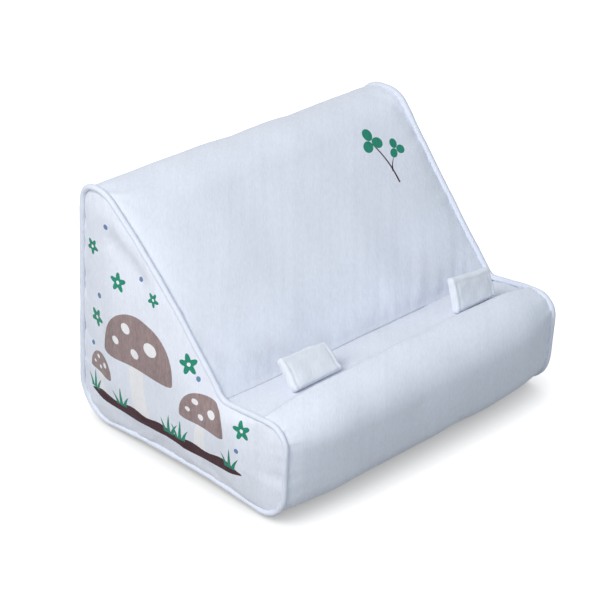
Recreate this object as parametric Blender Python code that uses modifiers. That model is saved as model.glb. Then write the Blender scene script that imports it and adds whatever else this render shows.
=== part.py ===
"""Tablet cushion stand: a stuffed fabric wedge with a reclined backrest, a ledge and a front roll.

The cover is five sewn panels over one filling, with piping round both side seams and two padded
tabs on the lip of the ledge. X runs across the stand, -Y is the front, with the roll, and +Z is up.
The stand rests on Z = 0, with its origin under the middle of its outer box. Lengths are in metres.
"""
import math

import bmesh
import bpy

# Driving sizes of the whole stand
SEAM_SPAN = 0.280
FLOOR_DROP = 0.004
COVER = 0.0015
PIPING = 0.005
CLEARANCE = 0.0003
FILLING_CLEARANCE = 0.0006

# Corners of the side seams, seen from the side: (y, z, length rounded off along both edges), in
# the order front base, front top, lip, crease, shoulder, ridge, back base. Heights are over the
# lowest stretch of the seam, which stays FLOOR_DROP above the floor. The ends differ a little.
LEFT_SEAM = ((-0.1152, 0.0003, 0.0260), (-0.1205, 0.0806, 0.0185), (-0.0940, 0.0790, 0.0030),
             (-0.0535, 0.0765, 0.0060), (0.0700, 0.1990, 0.0120), (0.0985, 0.1975, 0.0135),
             (0.1085, 0.0000, 0.0310))
RIGHT_SEAM = ((-0.1140, 0.0000, 0.0290), (-0.1207, 0.0805, 0.0175), (-0.0940, 0.0788, 0.0040),
              (-0.0532, 0.0722, 0.0050), (0.0506, 0.1958, 0.0110), (0.0910, 0.1925, 0.0220),
              (0.1085, 0.0000, 0.0320))

# The same corners where the stuffing swells the panels, as they would lie at the left and right
# ends; half way across, the section is the mean of the two
LEFT_SWELL = ((-0.1220, -0.0020, 0.0280), (-0.1380, 0.0915, 0.0365), (-0.0940, 0.0866, 0.0060),
              (-0.0518, 0.0750, 0.0040), (0.0490, 0.1945, 0.0140), (0.0990, 0.2025, 0.0200),
              (0.1119, -0.0070, 0.0330))
RIGHT_SWELL = ((-0.1200, -0.0020, 0.0280), (-0.1365, 0.0910, 0.0365), (-0.0940, 0.0862, 0.0060),
               (-0.0518, 0.0745, 0.0040), (0.0460, 0.1885, 0.0140), (0.0965, 0.1925, 0.0220),
               (0.1119, -0.0070, 0.0330))

# Bow of the stretch after each corner, as how far its middle lies outside the straight line: at
# the left seam, at the right seam, and where it is swollen
BOWS = ((0.0, 0.0, 0.0005), (0.0, 0.0, 0.0), (0.0, 0.0, 0.0), (0.0042, -0.0010, 0.0050),
        (0.0, 0.0, 0.0005), (0.0, 0.0, 0.0060), (-0.0039, -0.0039, 0.0))

# Swell across the stand and of the side panels
SWELL_POWER = 3.6
SIDE_SWELL = 0.008
SIDE_CENTRE = (0.000, 0.040)

# Tabs: padded flaps that stand on the ledge behind the lip and lean back. Each has its distance
# from the nearest side seam, its width and its lean.
TAB_HEIGHT = 0.024
TAB_THICKNESS = 0.008
TAB_ROUND = 0.006
TAB_TAPER = 0.004
TAB_SOFTENING = 0.0025
TAB_SOFT_ANGLE = math.radians(50.0)
LEFT_TAB = (0.035, 0.049, math.radians(40.0))
RIGHT_TAB = (0.035, 0.041, math.radians(32.0))

# How finely the curved shapes are divided; STRETCH_STEPS has one number for each stretch
STRETCH_STEPS = (3, 1, 2, 6, 2, 5, 8)
CORNER_STEPS = 4
ACROSS_STEPS = 14
SIDE_RINGS = 3
TAB_STEPS = 4
PIPING_SIDES = 8
WELD = 0.00001

# Colours, linear, and roughness
WRAP_BLUE = (0.63, 0.68, 0.80, 1.0)
SIDE_BLUE = (0.72, 0.75, 0.83, 1.0)
TRIM_BLUE = (0.76, 0.79, 0.86, 1.0)
BASE_GREY = (0.55, 0.57, 0.62, 1.0)
STUFFING_WHITE = (0.82, 0.82, 0.80, 1.0)
PILE_ROUGHNESS = 0.95
WOVEN_ROUGHNESS = 0.85

LIP_CORNER = 2
CREASE_CORNER = 3
BACK_BASE_CORNER = 6


def unit(vector):
    length = math.hypot(*vector)
    return (vector[0] / length, vector[1] / length)


def outward(along):
    """Outlines run up the front, over the top and down the back, so outwards is to their left."""
    return (-along[1], along[0])


def corner_round(before, corner, after):
    """Points of the arc that is tangent to both edges of a corner."""
    y, z, cut = corner
    arriving = unit((y - before[0], z - before[1]))
    leaving = unit((after[0] - y, after[1] - z))
    start = (y - arriving[0] * cut, z - arriving[1] * cut)
    end = (y + leaving[0] * cut, z + leaving[1] * cut)
    cosine = max(-1.0, min(1.0, arriving[0] * leaving[0] + arriving[1] * leaving[1]))
    weight = math.cos(math.acos(cosine) / 2)
    points = []
    for step in range(CORNER_STEPS + 1):
        t = step / CORNER_STEPS
        a, b, c = (1 - t) ** 2, 2 * t * (1 - t) * weight, t ** 2
        points.append(tuple((a * s + b * v + c * e) / (a + b + c)
                            for s, v, e in zip(start, (y, z), end)))
    return points


def outline(corners, bow_column):
    """Closed section of the stand: each corner's arc, then the bowed stretch to the next one."""
    arcs = [corner_round(corners[i - 1], corner, corners[(i + 1) % len(corners)])
            for i, corner in enumerate(corners)]
    points = []
    for i, arc in enumerate(arcs):
        start, end = arc[-1], arcs[(i + 1) % len(arcs)][0]
        normal = outward(unit((end[0] - start[0], end[1] - start[1])))
        points.extend(arc)
        for step in range(1, STRETCH_STEPS[i]):
            t = step / STRETCH_STEPS[i]
            bow = BOWS[i][bow_column] * 4 * t * (1 - t)
            points.append(tuple(s + (e - s) * t + n * bow for s, e, n in zip(start, end, normal)))
    return points


def corner_index(corner, steps_into_arc):
    """Place in an outline of a point on a corner's arc."""
    return sum(CORNER_STEPS + steps for steps in STRETCH_STEPS[:corner]) + steps_into_arc


SEAM_OUTLINES = {-1: outline(LEFT_SEAM, 0), 1: outline(RIGHT_SEAM, 1)}
SWELL_OUTLINES = {-1: outline(LEFT_SWELL, 2), 1: outline(RIGHT_SWELL, 2)}
COUNT = len(SEAM_OUTLINES[-1])
CREASE_POINT = corner_index(CREASE_CORNER, CORNER_STEPS // 2)
BACK_EDGE_POINT = corner_index(BACK_BASE_CORNER, CORNER_STEPS + 1)
FRONT_EDGE_POINT = COUNT - 1
LEDGE_START_POINT = corner_index(LIP_CORNER, CORNER_STEPS)


def inset(points, depth):
    """A closed outline moved inwards, with every edge at the same depth."""
    normals = []
    for i, (y, z) in enumerate(points):
        after = points[(i + 1) % len(points)]
        normals.append(outward(unit((after[0] - y, after[1] - z))))
    moved = []
    for i, (y, z) in enumerate(points):
        a, b = normals[i - 1], normals[i]
        share = depth / (1 + a[0] * b[0] + a[1] * b[1])
        moved.append((y - (a[0] + b[0]) * share, z - (a[1] + b[1]) * share))
    return moved


def mixed(outlines, share):
    """Outline between the left and right one; share is 0 at the left seam and 1 at the right."""
    return [tuple(a + (b - a) * share for a, b in zip(left, right))
            for left, right in zip(outlines[-1], outlines[1])]


def section(x):
    """Outer outline of the cover at x: swollen by the stuffing, and pressed flat on the floor."""
    share = x / SEAM_SPAN + 0.5
    swell = 1 - abs(2 * share - 1) ** SWELL_POWER
    points = []
    for seam, middle in zip(mixed(SEAM_OUTLINES, share), mixed(SWELL_OUTLINES, share)):
        y, z = (s + (m - s) * swell for s, m in zip(seam, middle))
        points.append((y, max(z, -FLOOR_DROP)))
    return points


def wrap_stations():
    """Places across the stand, from seam to seam, closer together near the seams."""
    reach = SEAM_SPAN / 2 - PIPING / 2 - CLEARANCE
    turns = [math.pi * (i / ACROSS_STEPS - 0.5) for i in range(ACROSS_STEPS + 1)]
    return [reach * math.sin(turn) for turn in turns]


def side_ring(side, depth, ring):
    """One ring of a side panel: (x, outline shrunk towards the panel's centre)."""
    share = ring / SIDE_RINGS
    edge = inset(SEAM_OUTLINES[side], PIPING / 2 + CLEARANCE)
    cy, cz = SIDE_CENTRE
    points = [(cy + (y - cy) * share, cz + (z - cz) * share) for y, z in edge]
    return side * (SEAM_SPAN / 2 + SIDE_SWELL * (1 - share ** 2) - depth), points


def new_material(name, colour, roughness):
    surface = bpy.data.materials.new(name)
    surface.use_nodes = True
    shader = surface.node_tree.nodes["Principled BSDF"]
    shader.inputs["Base Color"].default_value = colour
    shader.inputs["Roughness"].default_value = roughness
    shader.inputs["Metallic"].default_value = 0.0
    surface.diffuse_color = colour
    return surface


def new_piece(name, shape, surface, collection):
    """Turns a finished bmesh into a named object, lifted so that the stand rests on the floor."""
    mesh = bpy.data.meshes.new(name)
    shape.to_mesh(mesh)
    shape.free()
    mesh.shade_smooth()
    mesh.materials.append(surface)
    piece = bpy.data.objects.new(name, mesh)
    piece.location.z = FLOOR_DROP
    collection.objects.link(piece)
    return piece


def thicken(piece):
    """Gives an open outer surface the thickness of the cover, inwards."""
    cover = piece.modifiers.new("Cover", "SOLIDIFY")
    cover.thickness = COVER
    cover.offset = -1.0


def wrap_panel(name, first, last, surface, collection):
    """Panel that runs from side seam to side seam, between two points of the outline."""
    across = wrap_stations()
    sections = [section(x) for x in across]
    rows = last - first
    shape = bmesh.new()
    bmesh.ops.create_grid(shape, x_segments=ACROSS_STEPS, y_segments=rows, size=0.5)
    for vertex in shape.verts:
        column = round((vertex.co.x + 0.5) * ACROSS_STEPS)
        row = round((vertex.co.y + 0.5) * rows)
        points = sections[column]
        y, z = points[(first + row) % COUNT]
        if row in (0, rows):
            # A cut edge stops half a clearance short of the seam that it shares with the next panel
            inner = points[(first + (1 if row == 0 else rows - 1)) % COUNT]
            inwards = unit((inner[0] - y, inner[1] - z))
            y += inwards[0] * CLEARANCE / 2
            z += inwards[1] * CLEARANCE / 2
        vertex.co = (across[column], y, z)
    shape.normal_update()
    piece = new_piece(name, shape, surface, collection)
    thicken(piece)
    return piece


def side_panel(name, side, surface, collection):
    """End panel inside the piping, swollen outwards. side is -1 for left and 1 for right."""
    rings = [side_ring(side, 0.0, ring) for ring in range(SIDE_RINGS + 1)]
    shape = bmesh.new()
    bmesh.ops.create_grid(shape, x_segments=SIDE_RINGS, y_segments=COUNT, size=0.5)
    for vertex in shape.verts:
        x, points = rings[round((vertex.co.x + 0.5) * SIDE_RINGS)]
        vertex.co = (x, *points[round((vertex.co.y + 0.5) * COUNT) % COUNT])
    bmesh.ops.remove_doubles(shape, verts=shape.verts, dist=WELD)
    if side > 0:
        bmesh.ops.reverse_faces(shape, faces=shape.faces)
    shape.normal_update()
    piece = new_piece(name, shape, surface, collection)
    thicken(piece)
    return piece


def filling(surface, collection):
    """Stuffing: a closed ball-like mesh whose rings are laid under the side panels and the wrap."""
    depth = COVER + FILLING_CLEARANCE
    left = [side_ring(-1, depth, ring) for ring in range(SIDE_RINGS + 1)]
    right = [side_ring(1, depth, ring) for ring in reversed(range(SIDE_RINGS + 1))]
    across = [(x, inset(section(x), depth)) for x in wrap_stations()]
    rings = left + across + right
    shape = bmesh.new()
    bmesh.ops.create_uvsphere(shape, u_segments=COUNT, v_segments=len(rings) - 1, radius=1.0)
    for vertex in shape.verts:
        ring = round(math.acos(max(-1.0, min(1.0, vertex.co.z))) / math.pi * (len(rings) - 1))
        point = round(math.atan2(vertex.co.y, vertex.co.x) / (2 * math.pi) * COUNT) % COUNT
        x, points = rings[ring]
        vertex.co = (x, *points[point])
    if shape.calc_volume(signed=True) < 0:
        bmesh.ops.reverse_faces(shape, faces=shape.faces)
    return new_piece("filling", shape, surface, collection)


def piping(name, side, surface, collection):
    """Round cord that is sewn into the seam between a side panel and the wrap."""
    curve = bpy.data.curves.new(name, "CURVE")
    curve.dimensions = "3D"
    curve.bevel_depth = PIPING / 2
    curve.bevel_resolution = PIPING_SIDES // 2 - 2
    spline = curve.splines.new("POLY")
    spline.points.add(COUNT - 1)
    for point, (y, z) in zip(spline.points, SEAM_OUTLINES[side]):
        point.co = (side * SEAM_SPAN / 2, y, z, 1.0)
    spline.use_cyclic_u = True
    spline.use_smooth = True
    curve.materials.append(surface)
    piece = bpy.data.objects.new(name, curve)
    piece.location.z = FLOOR_DROP
    collection.objects.link(piece)
    return piece


def tab_rows():
    """Heights up a tab, closer together where its top corners round: (height, edge drawn in)."""
    rows = [(0.0, 0.0)]
    straight = TAB_HEIGHT - TAB_ROUND
    for step in range(TAB_STEPS + 1):
        turn = math.pi / 2 * step / TAB_STEPS
        height = straight + TAB_ROUND * math.sin(turn)
        rows.append((height, TAB_ROUND * (1 - math.cos(turn))))
    return [(height, drawn + TAB_TAPER * height / TAB_HEIGHT) for height, drawn in rows]


def tab(name, side, from_seam, width, lean, surface, collection):
    """Padded flap whose foot follows the ledge and whose face leans back from upright."""
    middle = side * (SEAM_SPAN / 2 - from_seam - width / 2)
    rows = tab_rows()
    shape = bmesh.new()
    bmesh.ops.create_grid(shape, x_segments=TAB_STEPS, y_segments=len(rows) - 1, size=0.5)
    bmesh.ops.reverse_faces(shape, faces=shape.faces)
    back = bmesh.ops.extrude_face_region(shape, geom=shape.faces[:])["geom"]
    back_vertices = {element for element in back if isinstance(element, bmesh.types.BMVert)}
    for vertex in shape.verts:
        height, drawn = rows[round((vertex.co.y + 0.5) * (len(rows) - 1))]
        x = middle + vertex.co.x * (width - 2 * drawn)
        points = section(x)
        foot, next_point = points[LEDGE_START_POINT], points[LEDGE_START_POINT + 1]
        along = unit((next_point[0] - foot[0], next_point[1] - foot[1]))
        raised = outward(along)
        thickness = TAB_THICKNESS if vertex in back_vertices else 0.0
        y = foot[0] + raised[0] * CLEARANCE + height * math.sin(lean) + along[0] * thickness
        z = foot[1] + raised[1] * CLEARANCE + height * math.cos(lean) + along[1] * thickness
        vertex.co = (x, y, z)
    if shape.calc_volume(signed=True) < 0:
        bmesh.ops.reverse_faces(shape, faces=shape.faces)
    piece = new_piece(name, shape, surface, collection)
    soften = piece.modifiers.new("Soft edges", "BEVEL")
    soften.width = TAB_SOFTENING
    soften.segments = 2
    soften.limit_method = "ANGLE"
    soften.angle_limit = TAB_SOFT_ANGLE
    return piece


def centre_on_origin(pieces):
    """Slides the stand along Y so that the origin is under the middle of its outer box."""
    bpy.context.view_layer.update()
    graph = bpy.context.evaluated_depsgraph_get()
    reach = []
    for piece in pieces:
        solid = piece.evaluated_get(graph)
        mesh = solid.to_mesh()
        reach.extend((solid.matrix_world @ vertex.co).y for vertex in mesh.vertices)
        solid.to_mesh_clear()
    for piece in pieces:
        piece.location.y -= (min(reach) + max(reach)) / 2


def build():
    for old in list(bpy.data.objects):
        bpy.data.objects.remove(old, do_unlink=True)
    stand = bpy.data.collections.new("tablet_cushion_stand")
    bpy.context.scene.collection.children.link(stand)
    wrap_cloth = new_material("wrap_cloth", WRAP_BLUE, PILE_ROUGHNESS)
    side_cloth = new_material("side_cloth", SIDE_BLUE, PILE_ROUGHNESS)
    trim_cloth = new_material("trim_cloth", TRIM_BLUE, PILE_ROUGHNESS)
    base_cloth = new_material("base_cloth", BASE_GREY, WOVEN_ROUGHNESS)
    stuffing = new_material("stuffing", STUFFING_WHITE, 1.0)
    pieces = [
        filling(stuffing, stand),
        wrap_panel("roll_panel", FRONT_EDGE_POINT - COUNT, CREASE_POINT, wrap_cloth, stand),
        wrap_panel("backrest_panel", CREASE_POINT, BACK_EDGE_POINT, wrap_cloth, stand),
        wrap_panel("base_panel", BACK_EDGE_POINT, FRONT_EDGE_POINT, base_cloth, stand),
        side_panel("left_side_panel", -1, side_cloth, stand),
        side_panel("right_side_panel", 1, side_cloth, stand),
        piping("left_piping", -1, trim_cloth, stand),
        piping("right_piping", 1, trim_cloth, stand),
        tab("left_tab", -1, *LEFT_TAB, trim_cloth, stand),
        tab("right_tab", 1, *RIGHT_TAB, trim_cloth, stand),
    ]
    centre_on_origin(pieces)


build()
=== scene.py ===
"""Looks of the tablet cushion stand: a stuffed velour wedge with piping, a front roll and two tabs.

The cover is built as one smooth surface that is swollen by a cloth simulation, then cut into its
sewn panels. Lengths are in metres, in the row's frame: X across, -Y to the front, +Z up.
"""
import math

import bmesh
import bpy
import numpy as np
from mathutils import Matrix, Vector
from mathutils.geometry import delaunay_2d_cdt
from mathutils.kdtree import KDTree


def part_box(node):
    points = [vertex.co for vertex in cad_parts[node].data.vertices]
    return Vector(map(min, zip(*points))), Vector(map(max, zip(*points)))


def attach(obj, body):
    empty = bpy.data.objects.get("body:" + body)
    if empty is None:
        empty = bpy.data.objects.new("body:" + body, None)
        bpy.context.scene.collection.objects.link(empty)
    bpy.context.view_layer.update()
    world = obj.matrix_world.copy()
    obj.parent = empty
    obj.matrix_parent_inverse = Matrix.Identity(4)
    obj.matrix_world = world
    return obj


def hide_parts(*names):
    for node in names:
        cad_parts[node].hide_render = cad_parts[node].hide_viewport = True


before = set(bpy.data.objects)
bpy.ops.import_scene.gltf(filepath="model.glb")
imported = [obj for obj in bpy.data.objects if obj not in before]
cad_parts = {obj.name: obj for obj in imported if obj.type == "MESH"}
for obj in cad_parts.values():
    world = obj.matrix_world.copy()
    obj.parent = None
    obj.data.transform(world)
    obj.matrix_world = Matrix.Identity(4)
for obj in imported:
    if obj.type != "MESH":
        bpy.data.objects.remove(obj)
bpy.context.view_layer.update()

# The camera, as it was fitted to the photograph's 600 x 600 frame
IMAGE_SIZE = 600
FOCAL_PIXELS = 3090.0
AZIMUTH = math.radians(-43.39)
ELEVATION = math.radians(29.46)
ROLL = math.radians(-0.09)
CAMERA_DISTANCE = 2.3346
SENSOR_MM = 36.0
# The point it looks at, from the zero of the section
CAMERA_TARGET = (-0.01344, 0.0, 0.08904)

PIPE_LOW, PIPE_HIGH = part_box("right_piping")
SEAM_X = (PIPE_LOW[0] + PIPE_HIGH[0]) / 2
PIPE_RADIUS = (PIPE_HIGH[0] - PIPE_LOW[0]) / 2

# Sections as (y, z, length rounded off along both edges) of each corner, in the order front base,
# front top, lip, crease, shoulder, ridge, back base: the two side seams, and the swollen cover as
# it would lie at each end
LEFT_SEAM = ((-0.1160, 0.0003, 0.0240), (-0.1205, 0.0806, 0.0185), (-0.0940, 0.0790, 0.0030),
             (-0.0535, 0.0765, 0.0060), (0.0700, 0.1990, 0.0120), (0.0985, 0.1975, 0.0135),
             (0.1085, 0.0000, 0.0310))
RIGHT_SEAM = ((-0.1140, 0.0000, 0.0290), (-0.1207, 0.0805, 0.0175), (-0.0940, 0.0788, 0.0040),
              (-0.0532, 0.0722, 0.0050), (0.0506, 0.1958, 0.0110), (0.0910, 0.1925, 0.0220),
              (0.1085, 0.0000, 0.0320))
LEFT_SWELL = ((-0.1208, -0.0020, 0.0270), (-0.1380, 0.0915, 0.0365), (-0.0940, 0.0866, 0.0060),
              (-0.0518, 0.0750, 0.0040), (0.0490, 0.1945, 0.0140), (0.0990, 0.2025, 0.0200),
              (0.1119, -0.0070, 0.0330))
RIGHT_SWELL = ((-0.1180, -0.0020, 0.0280), (-0.1365, 0.0910, 0.0365), (-0.0940, 0.0862, 0.0060),
               (-0.0518, 0.0745, 0.0040), (0.0460, 0.1885, 0.0140), (0.0965, 0.1925, 0.0220),
               (0.1119, -0.0070, 0.0330))
# Bow of each stretch after its corner: left seam, right seam, swollen cover
BOWS = ((0.0, 0.0, 0.0005), (0.0, 0.0, 0.0), (0.0, 0.0, 0.0), (0.0042, -0.0010, 0.0050),
        (0.0, 0.0, 0.0005), (0.0, 0.0, 0.0060), (-0.0039, -0.0039, 0.0))
STRETCH_STEPS = (10, 2, 10, 34, 8, 40, 34)
CORNER_STEPS = 8
# The higher the power, the nearer to the seams the cover keeps its full swell
SWELL_POWER = 4.8
# Swell of the side panels about their centre, and the power that rounds it
SIDE_SWELL = 0.008
SIDE_CROWN = 0.8
SIDE_CENTRE = np.array((0.000, 0.040))

CLOTH_THICKNESS = 0.0012
GRID = 0.0026
POINT_MERGE = 1e-7
# Mixed waves reach about their height with this factor
RIPPLE_REACH = 1.3


def unit(vector):
    return vector / np.linalg.norm(vector)


def corner_round(before, corner, after):
    """Arc that is tangent to both edges of a corner."""
    place, cut = np.array(corner[:2]), corner[2]
    arriving = unit(place - np.array(before[:2]))
    leaving = unit(np.array(after[:2]) - place)
    start, end = place - arriving * cut, place + leaving * cut
    weight = math.cos(math.acos(float(np.clip(arriving @ leaving, -1, 1))) / 2)
    t = np.linspace(0, 1, CORNER_STEPS + 1)[:, None]
    a, b, c = (1 - t) ** 2, 2 * t * (1 - t) * weight, t ** 2
    return (a * start + b * place + c * end) / (a + b + c)


def outline(corners, bow_column):
    """Closed section: each corner's arc, then the bowed stretch to the next one."""
    count = len(corners)
    arcs = [corner_round(corners[i - 1], corners[i], corners[(i + 1) % count]) for i in range(count)]
    points = []
    for i, arc in enumerate(arcs):
        start, end = arc[-1], arcs[(i + 1) % count][0]
        along = unit(end - start)
        normal = np.array((-along[1], along[0]))
        points.extend(arc)
        for step in range(1, STRETCH_STEPS[i]):
            t = step / STRETCH_STEPS[i]
            points.append(start + (end - start) * t + normal * BOWS[i][bow_column] * 4 * t * (1 - t))
    return np.array(points)


def corner_index(corner):
    """Index in an outline of the middle of a corner's arc."""
    return sum(CORNER_STEPS + steps for steps in STRETCH_STEPS[:corner]) + CORNER_STEPS // 2


OUTLINES = np.stack([outline(LEFT_SEAM, 0), outline(RIGHT_SEAM, 1),
                     outline(LEFT_SWELL, 2), outline(RIGHT_SWELL, 2)])
COUNT = OUTLINES.shape[1]
# Where the section's own zero lies in the row's frame, from the piping that follows the right seam
SECTION_ZERO = np.array(PIPE_HIGH[1:]) - PIPE_RADIUS - OUTLINES[1].max(axis=0)
LOOP = np.concatenate([OUTLINES, OUTLINES[:, :1]], axis=1)
MIDDLE = (LOOP[2] + LOOP[3]) / 2
LENGTHS = np.concatenate([[0], np.cumsum(np.linalg.norm(np.diff(MIDDLE, axis=0), axis=1))])
PERIMETER = LENGTHS[-1]
# Places of four corners along the outline
LIP_AT, CREASE_AT, SHOULDER_AT, BACK_BASE_AT = (LENGTHS[corner_index(i)] for i in (2, 3, 4, 6))
# The roll and back panels run under the edges of the base, to these places along the outline
BACK_EDGE_AT = BACK_BASE_AT + 0.050
FRONT_EDGE_AT = PERIMETER - 0.018


def cubic(four, t):
    """Smooth value between the middle two of four neighbours, at a share t of the way."""
    weights = ((-t + 2 * t ** 2 - t ** 3) / 2, (2 - 5 * t ** 2 + 3 * t ** 3) / 2,
               (t + 4 * t ** 2 - 3 * t ** 3) / 2, (-t ** 2 + t ** 3) / 2)
    return sum(weight * value for weight, value in zip(weights, four))


def between_rows(table, place):
    """Smooth values of a closed table at fractional row numbers."""
    base = np.floor(place).astype(int)
    four = [table[(base + shift) % len(table)] for shift in (-1, 0, 1, 2)]
    return cubic(four, (place - base)[:, None])


def between_columns(table, rows, place):
    """Smooth values of a table that is closed along its columns, at rows and fractional columns."""
    base = np.floor(place).astype(int)
    four = [table[rows, (base + shift) % table.shape[1]] for shift in (-1, 0, 1, 2)]
    return cubic(four, (place - base)[:, None])


def table_at(table, rows, columns):
    """Smooth values of a table, closed along its columns, at fractional rows and columns."""
    rows = np.clip(rows, 0, len(table) - 1)
    base = np.minimum(np.floor(rows).astype(int), len(table) - 2)
    t = (rows - base)[:, None]
    t = t * t * (3 - 2 * t)
    lower, upper = (between_columns(table, base + shift, columns) for shift in (0, 1))
    return lower * (1 - t) + upper * t


def row_number(v):
    """Fractional outline index of places along the outline, in metres from the front base."""
    return np.interp(np.mod(v, PERIMETER), LENGTHS, np.arange(COUNT + 1))


def smooth_section(x, v):
    """Cover surface before wrinkles: the seams' sections, swollen towards the middle."""
    rows = row_number(v)
    left, right, left_swell, right_swell = (between_rows(table, rows) for table in OUTLINES)
    across = ((x / SEAM_X + 1) / 2)[:, None]
    reach = np.clip(np.abs(x) / SEAM_X, 0, 1)
    swell = (1 - reach ** SWELL_POWER)[:, None]
    seam = left * (1 - across) + right * across
    middle = left_swell * (1 - across) + right_swell * across
    return np.column_stack([x, seam + (middle - seam) * swell + SECTION_ZERO])


def waves(place, ripple, shift=0, count=7):
    """Smooth ripple along one coordinate.

    A ripple is given as the number that starts its random draw, its height, and its longest and
    shortest wave. The shift is added to the starting number.
    """
    start, height, longest, shortest = ripple
    chance = np.random.default_rng(start + shift)
    total = np.zeros_like(place)
    for wavelength in np.geomspace(longest, shortest, count):
        total += chance.uniform(0.5, 1.0) * np.sin(2 * np.pi * (place / wavelength + chance.uniform()))
    return total / math.sqrt(count) * RIPPLE_REACH * height


def lumps(a, b, ripple, shift=0, count=10):
    """Smooth uneven surface over two coordinates, from the same numbers."""
    start, height, longest, shortest = ripple
    chance = np.random.default_rng(start + shift)
    total = np.zeros_like(a)
    for wavelength in np.geomspace(longest, shortest, count):
        turn = chance.uniform(0, 2 * np.pi)
        along = a * math.cos(turn) + b * math.sin(turn)
        total += np.sin(2 * np.pi * (along / wavelength + chance.uniform()))
    return total / math.sqrt(count) * RIPPLE_REACH * height


def fade(distance, reach):
    """Falls from 1 at no distance to about a third at the reach."""
    return np.exp(-np.maximum(distance, 0) / reach)


def hump(distance, width):
    """Smooth hump of height 1 about no distance."""
    return np.exp(-(distance / width) ** 2)


SEAM_DIP = 0.0010
SEAM_DIP_REACH = 0.0028
SEAM_PUCKER = (11, 0.0005, 0.034, 0.009)
SEAM_PUCKER_REACH = 0.012
# The crease deepens to the right: this share of its dip at the middle, and this much more at the seam
CREASE_DIP = 0.0042
CREASE_DIP_REACH = 0.0032
CREASE_DIP_SHARE = 0.75
CREASE_DIP_GAIN = 0.50
# Folds of the backrest's foot, which lean and gather about one place
CREASE_FOLD = (21, 0.00045, 0.036, 0.012)
CREASE_FOLD_START = 0.004
CREASE_FOLD_REACH = 0.024
CREASE_FOLD_CENTRE = 0.080
CREASE_FOLD_LEAN = 0.6
CREASE_FOLD_WIDTH = 0.050
CREASE_FOLD_LEAST = 0.25
LEDGE_FOLD = (22, 0.0001125, 0.040, 0.015)
LEDGE_FOLD_REACH = 0.015
# The lip line: the roll rises a little, then a groove, then the ledge lies lower up to the crease
LIP_DIP = 0.0016
LIP_STEP_WIDTH = 0.0010
LIP_GROOVE = 0.0044
LIP_GROOVE_AT = 0.0016
LIP_GROOVE_WIDTH = 0.0019
LIP_RISE = 0.0018
LIP_RISE_AT = 0.004
LIP_RISE_WIDTH = 0.0045
STUFFING_LUMPS = (31, 0.0005, 0.150, 0.050)
STUFFING_LUMPS_START = 0.02
FLOOR_SOFTNESS = 0.0012


def seam_detail(x, v):
    """The wrap's tuck along both side seams, with its puckers."""
    height = -SEAM_DIP * fade(SEAM_X - np.abs(x), SEAM_DIP_REACH)
    for shift, side in enumerate((-1, 1)):
        height += fade(SEAM_X - side * x, SEAM_PUCKER_REACH) * waves(v, SEAM_PUCKER, shift)
    return height


def crease_detail(x, v):
    """The dip of the crease, and the folds above and below it."""
    above = v - CREASE_AT
    away = np.abs(above)
    dip = CREASE_DIP * fade(away, CREASE_DIP_REACH) * (CREASE_DIP_SHARE + CREASE_DIP_GAIN * x / SEAM_X)
    gathered = CREASE_FOLD_LEAST + hump(x - CREASE_FOLD_CENTRE, CREASE_FOLD_WIDTH)
    folds = gathered * waves(x - CREASE_FOLD_LEAN * above, CREASE_FOLD)
    upper = folds * fade(away, CREASE_FOLD_REACH) * (above > 0)
    lower = waves(x, LEDGE_FOLD) * fade(away, LEDGE_FOLD_REACH) * (above < 0)
    return (upper + lower) * (1 - fade(away, CREASE_FOLD_START)) - dip


def lip_detail(v):
    """The lip line behind the roll."""
    from_lip = v - LIP_AT
    ledge = np.clip((CREASE_AT - v) / (CREASE_AT - LIP_AT), 0, 1)
    step = 1 / (1 + np.exp(-from_lip / LIP_STEP_WIDTH))
    groove = LIP_GROOVE * hump(from_lip - LIP_GROOVE_AT, LIP_GROOVE_WIDTH)
    return LIP_RISE * hump(from_lip + LIP_RISE_AT, LIP_RISE_WIDTH) - groove - LIP_DIP * step * np.sqrt(ledge)


def wrap_detail(x, v):
    """Height of the wrap's seams, crease, lip and lumps over the swollen surface."""
    lumpy = lumps(x, v, STUFFING_LUMPS) * (1 - fade(SEAM_X - np.abs(x), STUFFING_LUMPS_START))
    return seam_detail(x, v) + crease_detail(x, v) + lip_detail(v) + lumpy


def on_floor(points):
    """Presses what lies below the floor flat on it, with a soft edge."""
    z = points[:, 2]
    points[:, 2] = (z + np.sqrt(z * z + FLOOR_SOFTNESS ** 2)) / 2
    return points


# How far apart a surface is sampled for its normals
NORMAL_STEP = 0.0004


def with_normals(surface, a, b):
    """Points of a surface over two coordinates, and its unit normals."""
    points = surface(a, b)
    along_a = surface(a + NORMAL_STEP, b) - surface(a - NORMAL_STEP, b)
    along_b = surface(a, b + NORMAL_STEP) - surface(a, b - NORMAL_STEP)
    normals = np.cross(along_a, along_b)
    return points, normals / np.linalg.norm(normals, axis=1)[:, None]


# The cloth simulation: a closed bag of the cover's shape, blown up from inside while its seams hold

# Rows round the section, columns from seam to seam, and rings of each side panel
BAG_ROWS = 126
BAG_COLUMNS = 45
BAG_RINGS = 8
BAG_TURN = math.radians(68)
BAG_PRESSURE = 4.0
BAG_FRAMES = 20
BAG_SLACK = -0.035
BAG_STIFFNESS = 12.0
BAG_BENDING = 0.4
MOST_SWELL = 0.006
SHORTEST = 1e-9


def side_loop(side):
    """The seam of a side panel in (y, z), in the section's own coordinates."""
    return OUTLINES[0] if side < 0 else OUTLINES[1]


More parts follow.
